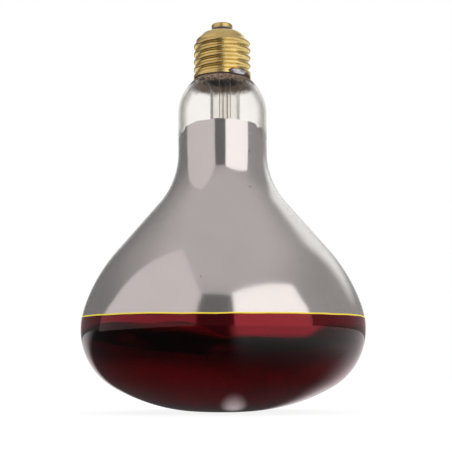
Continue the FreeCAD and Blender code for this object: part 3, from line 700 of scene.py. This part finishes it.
def shoulder_film(name, c, low, high, density):
    """Grey-brown film that grows denser up the shoulder towards the cap and thins out below in a granular
    edge.
    """
    material, tree = new_material(name)
    grain = placed(tree, "Grain", Scale=1500.0, Low=0.36, High=0.64)["Mask"]
    soft = placed(tree, "Clouds", Scale=170.0, Low=0.2, High=0.8, Flatten=1.0)["Mask"]
    climb = ramp(tree, object_height(tree), low, high)
    cover = maths(tree, "SUBTRACT", times(tree, climb, density),
                  plus(tree, times(tree, grain, 1.2), times(tree, soft, 0.6)))
    return shaded(material, Base_Color=blend_colour(tree, grain, c.shoulder_film, c.shoulder_film_dark), Roughness=0.8,
                  Alpha=times(tree, cover, 0.85, clamp=True))


# Pieces

def settings():
    scene = bpy.context.scene
    return scene.lamp_bulb, scene.lamp_coats, scene.lamp_wires, scene.lamp_finishes


def wear(piece, material, *nodes, slot):
    """Gives a new piece its material and its body, and hides the nodes it stands for. The slot is not used.
    """
    piece.data.materials.append(material)
    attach(piece, "root")
    if nodes:
        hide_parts(*nodes)


def dress(material, *names):
    """Gives CAD nodes a finish."""
    for name in names:
        slots = NODES[name].data.materials
        slots.clear()
        slots.append(material)


def rim_z():
    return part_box("cap_shell")[0].z


class LAMP_OT_effects(bpy.types.Operator):
    """Makes the node groups that several finishes share"""
    bl_idname = "lamp.effects"
    bl_label = "Shared effects"

    def execute(self, context):
        cloud_group()
        grain_group()
        turning_group()
        speck_group()
        return {"FINISHED"}


class LAMP_OT_bulb_glass(bpy.types.Operator):
    """Blows the clear bulb from the ruby edge up to the collar inside the cap"""
    bl_idname = "lamp.bulb_glass"
    bl_label = "Clear bulb"

    def execute(self, context):
        s, coats, _, c = settings()
        foot = coats.ruby_edge - coats.line + s.gap
        outer_in = s.coat + s.gap
        inner_in = s.coat + s.wall
        outer = bulb_line(s, outer_in)
        neck_top = outer[-1][1]
        neck_r = s.neck_d / 2
        collar_r = s.collar_d / 2 - s.gap
        bore_r = s.collar_d / 2 - s.collar_wall + s.gap
        shoulder_r = s.shoulder_r - outer_in
        centre_r = neck_r - s.shoulder_r
        reach = collar_r + s.collar_fillet - centre_r
        fillet_z = neck_top + math.sqrt((shoulder_r + s.collar_fillet) ** 2 - reach ** 2)
        turn = math.atan2(fillet_z - neck_top, reach)
        finer = 0.6
        line = Outline(s.step * finer)
        line.points = between(outer, foot, neck_top)
        line.arc((centre_r, neck_top), shoulder_r, 0, turn)
        line.arc((collar_r + s.collar_fillet, fillet_z), s.collar_fillet, turn + math.pi, math.pi)
        collar_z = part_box("glass_envelope")[1].z
        line.line(collar_r, collar_z)
        line.line(bore_r, collar_z)
        seal_z = rim_z() - s.seal_below_rim
        line.line(bore_r, seal_z)
        centre, inner_r = inner_shoulder(neck_r - inner_in, bore_r, neck_top, seal_z)
        line.arc(centre, inner_r, math.asin((seal_z - neck_top) / inner_r), 0)
        for r, z in reversed(between(bulb_line(s, inner_in), foot, neck_top)):
            line.to(r, z)
        piece = turned("bulb_glass", line.points, s.segments)
        slide(piece, outer, lambda a, z: ruby_edge_shift(a) * smooth(z, foot + coats.fade, foot))
        sharpen(piece)
        wear(piece, clear_glass(c, coats), "glass_envelope", slot="clear_glass")
        return {"FINISHED"}


class LAMP_OT_ruby_face(bpy.types.Operator):
    """Blows the ruby coated face and lays the yellow line on its edge"""
    bl_idname = "lamp.ruby_face"
    bl_label = "Ruby face"

    def execute(self, context):
        s, coats, _, c = settings()
        outer = bulb_line(s, 0.0)
        top = coats.ruby_edge - coats.line
        inner = between(bulb_line(s, s.coat + s.wall), -1, top)
        piece = turned("ruby_face", between(outer, -1, top) + inner[::-1], s.segments)
        slide(piece, outer, lambda a, z: ruby_edge_shift(a) * smooth(z, top - coats.fade, top))
        sharpen(piece)
        wear(piece, ruby_glass(c, coats), "ruby_coating", slot="ruby_glass")
        foot = top + s.gap
        band = between(outer, foot, coats.ruby_edge)
        back = between(bulb_line(s, s.coat), foot, coats.ruby_edge)
        line = turned("yellow_line", band + back[::-1], s.segments)
        slide(line, outer, lambda a, z: ruby_edge_shift(a))
        wear(line, yellow_line(c), slot="ruby_glass")
        return {"FINISHED"}


class LAMP_OT_mirror(bpy.types.Operator):
    """Lays the mirror film inside the bowl and neck"""
    bl_idname = "lamp.mirror"
    bl_label = "Mirror"

    def execute(self, context):
        s, coats, _, c = settings()
        start = s.coat + s.wall + s.gap
        low, high = coats.mirror_low, coats.mirror_high
        outline = bulb_line(s, start)
        front = between(outline, low, high)
        back = between(bulb_line(s, start + coats.mirror_film), low, high)
        piece = turned("mirror_film", front + back[::-1], s.segments)

        def shift(angle, z):
            up = mirror_edge_shift(angle) * smooth(z, high - coats.mirror_fade_high, high)
            return up + mirror_foot_shift(angle) * smooth(z, low + coats.mirror_fade_low, low)

        slide(piece, outline, shift)
        sharpen(piece)
        wear(piece, mirror(c), "reflector_coating", slot="mirror")
        return {"FINISHED"}


class LAMP_OT_cap(bpy.types.Operator):
    """Finishes the brass shell, the insulator, the contact and its solder"""
    bl_idname = "lamp.cap"
    bl_label = "Screw cap"

    def execute(self, context):
        c = settings()[3]
        dress(brass("shell_brass", c, 0.40, c.shell_rough), "cap_shell")
        dress(brass("contact_brass", c, 0.9, c.contact_rough), "centre_contact")
        dress(black_glass(c), "cap_insulator")
        pad = grained_metal("solder", c.solder, (0.28, 0.26, 0.26),
                            roughness=0.3, scale=1500.0, depth=8e-5)
        dress(pad, "centre_solder")
        return {"FINISHED"}


class LAMP_OT_side_solder(bpy.types.Operator):
    """Melts the side solder over the wire's end, with its burnt flux"""
    bl_idname = "lamp.side_solder"
    bl_label = "Side solder"

    def execute(self, context):
        _, _, w, c = settings()
        cap_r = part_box("cap_shell")[1].x
        low = rim_z()
        solder = grained_metal("side_solder", c.solder, (0.30, 0.27, 0.27),
                               roughness=0.26, scale=1300.0, depth=1e-4)
        flux = grained_matt("burnt_flux", c.flux, (0.012, 0.008, 0.006),
                            roughness=0.28, scale=1800.0, depth=1.2e-4)
        lump = self.blob("solder_lump", cap_r, w.solder_bearing, low + w.solder_rise,
                         (w.solder_t, w.solder_w / 2, w.solder_h / 2), seed=1.0, rough=0.16)
        wear(lump, solder, "side_solder", slot="solder")
        for number, (turn, rise, size) in enumerate(FLUX_DROPS, 1):
            turn = w.solder_bearing + math.radians(turn)
            size = [reach * MM for reach in size]
            spill = self.blob("flux_%d" % number, cap_r, turn, low + rise * MM, size,
                              seed=2.0 + number, rough=0.3)
            wear(spill, flux, slot="solder")
        return {"FINISHED"}

    def blob(self, name, cap_r, middle, z, size, seed, rough):
        """A flattened drop wrapped round the cap, its back pressed to the brass."""
        broad, fine, sunk = 1.7, 4.5, 0.25 * MM
        bm = bmesh.new()
        bmesh.ops.create_icosphere(bm, subdivisions=5, radius=1.0)
        for v in bm.verts:
            n = v.co.normalized()
            swell = 1 + rough * noise.noise(n * broad + Vector((seed, seed * 2, 0))) + \
                0.4 * rough * noise.noise(n * fine + Vector((seed, 0, seed)))
            out = n.x * size[0] * swell
            around = n.y * size[1] * swell
            up = n.z * size[2] * swell
            r = cap_r + max(out, -sunk)
            a = middle + around / cap_r
            v.co = (r * math.cos(a), r * math.sin(a), z + up)
        return finished(name, bm)


class LAMP_OT_seal(bpy.types.Operator):
    """Finishes the cement and lays a grey-brown film on the shoulder, denser towards the cap"""
    bl_idname = "lamp.seal"
    bl_label = "Cement and deposit"

    def execute(self, context):
        s, coats, _, c = settings()
        baked = grained_matt("cement", c.cement, (0.07, 0.055, 0.045),
                             roughness=0.85, scale=1100.0, depth=3e-4)
        dress(baked, "basing_cement")
        neck_top = bulb_line(s, 0.0)[-1][1]
        neck_r = s.neck_d / 2
        bore_r = s.collar_d / 2 - s.collar_wall
        seal_z = rim_z() - s.seal_below_rim
        centre, radius = inner_shoulder(neck_r - s.coat - s.wall, bore_r, neck_top, seal_z)
        self.film("inner_shoulder_film", centre, radius - s.gap, 2 * s.gap, coats.inner_film_low, seal_z,
                  density=2.3)
        centre, radius = (neck_r - s.shoulder_r, neck_top), s.shoulder_r - s.coat
        self.film("outer_shoulder_film", centre, radius - s.gap / 4, s.gap / 2, coats.outer_film_low, rim_z(),
                  density=2.0)
        return {"FINISHED"}

    def film(self, name, centre, radius, depth, low, high, density):
        """A grey-brown film on one arc of the shoulder, from one height up to another."""
        s, coats, _, c = settings()
        start = math.asin((low - centre[1]) / radius)
        end = math.asin((high - centre[1]) / radius)
        line = Outline(coats.film_step)
        line.arc(centre, radius, start, end)
        line.arc(centre, radius - depth, end, start)
        piece = turned(name, line.points, s.segments)
        wear(piece, shoulder_film(name, c, low, high, density), slot="cement")


class LAMP_OT_stem(bpy.types.Operator):
    """Finishes the stem, the exhaust tube, the rod and the wires"""
    bl_idname = "lamp.stem"
    bl_label = "Stem and wires"

    def execute(self, context):
        c = settings()[3]
        dress(stem_glass(c), "stem_tube", "exhaust_tube", "button_rod")
        lead = grained_metal("lead_wire", c.lead, (0.52, 0.47, 0.43),
                             roughness=0.45, scale=2500.0, depth=4e-5)
        nickel = grained_metal("nickel_wire", c.nickel, (0.34, 0.32, 0.30),
                               roughness=0.3, scale=2500.0, depth=4e-5)
        dress(lead, "centre_lead_outer", "side_lead_outer")
        dress(nickel, "centre_lead_seal", "side_lead_seal", "centre_lead_inner", "side_lead_inner",
              *sorted(n for n in NODES if n.startswith("filament_support")))
        return {"FINISHED"}


class LAMP_OT_filament(bpy.types.Operator):
    """Winds the filament's coil round its open ring"""
    bl_idname = "lamp.filament"
    bl_label = "Filament"

    def execute(self, context):
        _, _, w, c = settings()
        low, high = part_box("filament")
        z = (low.z + high.z) / 2
        ring_r = w.ring_d / 2
        start = math.pi / 2 + w.ring_gap / 2
        sweep = 2 * math.pi - w.ring_gap
        turns = ring_r * sweep / w.coil_pitch
        coil_r = (w.coil_d - w.coil_wire) / 2
        steps = int(turns * w.coil_steps)
        path = []
        for i in range(steps + 1):
            share = i / steps
            a = start + sweep * share
            spin = 2 * math.pi * turns * share
            r = ring_r + coil_r * math.cos(spin)
            path.append(Vector((r * math.cos(a), r * math.sin(a), z + coil_r * math.sin(spin))))
        piece = tube("filament_coil", path, w.coil_wire / 2, w.wire_sides)
        metal = grained_metal("tungsten", c.tungsten, (0.16, 0.16, 0.17),
                              roughness=0.35, scale=3000.0, depth=3e-5)
        wear(piece, metal, "filament", slot="tungsten")
        return {"FINISHED"}


def emission(name, tint, strength):
    material, tree = new_material(name)
    output(tree, put(tree, "ShaderNodeEmission", Color=tint, Strength=strength).outputs[0])
    return material


def panel(name, corners, material, seen=False):
    """A flat piece of the stage. Unless it is seen, only light and reflections meet it."""
    mesh = bpy.data.meshes.new(name)
    mesh.from_pydata(corners, [], [tuple(range(len(corners)))])
    mesh.materials.append(material)
    piece = linked(name, mesh)
    piece.visible_camera = piece.visible_shadow = seen


class LAMP_OT_stage(bpy.types.Operator):
    """Sets the floor, the two softboxes, the room and the camera"""
    bl_idname = "lamp.stage"
    bl_label = "Stage"

    def execute(self, context):
        st = context.scene.lamp_stage
        self.floor(st)
        panel("softbox_right", RIGHT_BOX, emission("softbox_white", st.right_tint, st.right_light))
        panel("softbox_left", LEFT_BOX, emission("softbox_dim", st.left_tint, st.left_light))
        panel("dark_gap", GAP_CLOTH, emission("gap_cloth", (1.0, 0.96, 0.95), st.gap_light))
        self.room(st)
        self.camera(st)
        context.scene.view_settings.view_transform = "Standard"
        return {"FINISHED"}

    def floor(self, st):
        """White to the eye but for the lamp's shade; reflections see it dim in front and lit elsewhere."""
        half = st.floor_size / 2
        corners = [(-half, -half, 0), (half, -half, 0), (half, half, 0), (-half, half, 0)]
        material, tree = new_material("floor_white")
        path = put(tree, "ShaderNodeLightPath").outputs
        bounced = plus(tree, path["Is Glossy Ray"], path["Is Transmission Ray"], clamp=True)
        place = object_place(tree)
        away = fed(tree, "ShaderNodeVectorMath", place, operation="LENGTH")["Value"]
        turn = azimuth(tree, place)
        lit = times(tree, turn_ramp(tree, turn, 2, 12), ramp(tree, away, 0.05, 0.14))
        behind = maths(tree, "MAXIMUM", turn_ramp(tree, turn, 60, 110), turn_ramp(tree, turn, -116, -138))
        glow = plus(tree, st.floor_dim, times(tree, maths(tree, "MAXIMUM", lit, behind), st.floor_lit))
        glow = plus(tree, glow, self.pool(tree, st, place, path["Is Glossy Ray"]))
        shown = path["Is Camera Ray"]
        strength = plus(tree, times(tree, shown, st.floor_shown), times(tree, bounced, glow))
        paint = put(tree, "ShaderNodeBsdfDiffuse", Color=(0.9, 0.9, 0.895))
        white = put(tree, "ShaderNodeEmission", Color=(1.0, 1.0, 1.0), Strength=strength)
        share = plus(tree, times(tree, shown, st.floor_share), bounced, clamp=True)
        output(tree, mixed_shader(tree, share, paint.outputs[0], white.outputs[0]))
        panel("floor", corners, material, seen=True)

    def pool(self, tree, st, place, seen):
        """Light that the face gathers on the floor under it, a long patch that reflections see."""
        narrow = fed(tree, "ShaderNodeVectorMath", place, (2.0, 1.0, 1.0), operation="MULTIPLY")[0]
        middle = (2.0 * st.pool_side, -st.pool_back, 0.0)
        away = fed(tree, "ShaderNodeVectorMath", narrow, middle, operation="DISTANCE")["Value"]
        return times(tree, ramp(tree, away, 0.002, 0.014, st.pool_light, 0.0), seen)

    def room(self, st):
        """White to the eye; for the rest a grey ceiling, dim walls, and a white wall behind."""
        world = bpy.data.worlds.new("room")
        bpy.context.scene.world = world
        world.use_nodes = True
        tree = world.node_tree
        tree.nodes.clear()
        way = put(tree, "ShaderNodeTexCoord").outputs["Generated"]
        rise = parts(tree, way)[2]
        turn = azimuth(tree, way)
        base = blend_colour(tree, ramp(tree, rise, 0.32, 0.90), st.walls, st.ceiling)
        side = times(tree, turn_ramp(tree, turn, 60, 85), ramp(tree, rise, 0.40, 0.70, 0.5, 0.0))
        base = blend_colour(tree, side, base, st.ceiling)
        away = maths(tree, "ABSOLUTE", turn)
        sideways = ramp(tree, rise, 0.70, 0.92, 1.0, 0.0)
        dim = times(tree, turn_ramp(tree, away, 35, 110, 0.0, 0.17), sideways)
        base = blend_colour(tree, dim, base, (0.0, 0.0, 0.0))
        high = times(tree, ramp(tree, rise, 0.18, 0.36), ramp(tree, rise, 0.58, 0.74, 1.0, 0.0))
        wall = times(tree, turn_ramp(tree, turn, 129, 149), high)
        behind = times(tree, turn_ramp(tree, away, 159, 171), sideways)
        base = blend_colour(tree, maths(tree, "MAXIMUM", wall, behind), base, st.white_wall)
        path = put(tree, "ShaderNodeLightPath").outputs
        shown = blend_colour(tree, path["Is Camera Ray"], base, (1.0, 1.0, 1.0))
        background = put(tree, "ShaderNodeBackground", Color=shown, Strength=1.0)
        put(tree, "ShaderNodeOutputWorld", Surface=background.outputs[0])

    def camera(self, st):
        data = bpy.data.cameras.new("camera")
        data.lens = st.lens
        data.sensor_width = 36
        data.clip_start = 0.01
        camera = linked("camera", data)
        ahead = Vector((0, math.cos(st.pitch), math.sin(st.pitch)))
        across = Vector((1, 0, 0))
        up = across.cross(ahead)
        lean_across = across * math.cos(st.roll) - up * math.sin(st.roll)
        lean_up = across * math.sin(st.roll) + up * math.cos(st.roll)
        turn = Matrix((lean_across, lean_up, -ahead)).transposed()
        camera.matrix_world = Matrix.Translation(st.camera) @ turn.to_4x4()
        bpy.context.scene.camera = camera


PIECES = (LAMP_OT_effects, LAMP_OT_bulb_glass, LAMP_OT_ruby_face, LAMP_OT_mirror, LAMP_OT_cap,
          LAMP_OT_side_solder, LAMP_OT_seal, LAMP_OT_stem, LAMP_OT_filament, LAMP_OT_stage)
GROUPS = (("lamp_bulb", BulbSizes), ("lamp_coats", CoatSizes), ("lamp_wires", WireSizes),
          ("lamp_finishes", Finishes), ("lamp_stage", StageSettings))


class LAMP_PT_pieces(bpy.types.Panel):
    """Lists the lamp's pieces and their sizes"""
    bl_idname = "LAMP_PT_pieces"
    bl_label = "Heat lamp"
    bl_space_type = "VIEW_3D"
    bl_region_type = "UI"
    bl_category = "Heat Lamp"

    def draw(self, context):
        for operator in PIECES:
            self.layout.operator(operator.bl_idname)
        for name, kind in GROUPS:
            box = self.layout.box()
            box.label(text=kind.__doc__)
            values = getattr(context.scene, name)
            for key in kind.__annotations__:
                box.prop(values, key)


def register():
    for name, kind in GROUPS:
        bpy.utils.register_class(kind)
        setattr(bpy.types.Scene, name, PointerProperty(type=kind))
    for kind in (*PIECES, LAMP_PT_pieces):
        bpy.utils.register_class(kind)


def unregister():
    for kind in (LAMP_PT_pieces, *reversed(PIECES)):
        bpy.utils.unregister_class(kind)
    for name, kind in reversed(GROUPS):
        delattr(bpy.types.Scene, name)
        bpy.utils.unregister_class(kind)


def main():
    register()
    bpy.ops.lamp.effects()
    bpy.ops.lamp.bulb_glass()
    bpy.ops.lamp.ruby_face()
    bpy.ops.lamp.mirror()
    bpy.ops.lamp.cap()
    bpy.ops.lamp.side_solder()
    bpy.ops.lamp.seal()
    bpy.ops.lamp.stem()
    bpy.ops.lamp.filament()
    bpy.ops.lamp.stage()


if __name__ == "__main__":
    main()
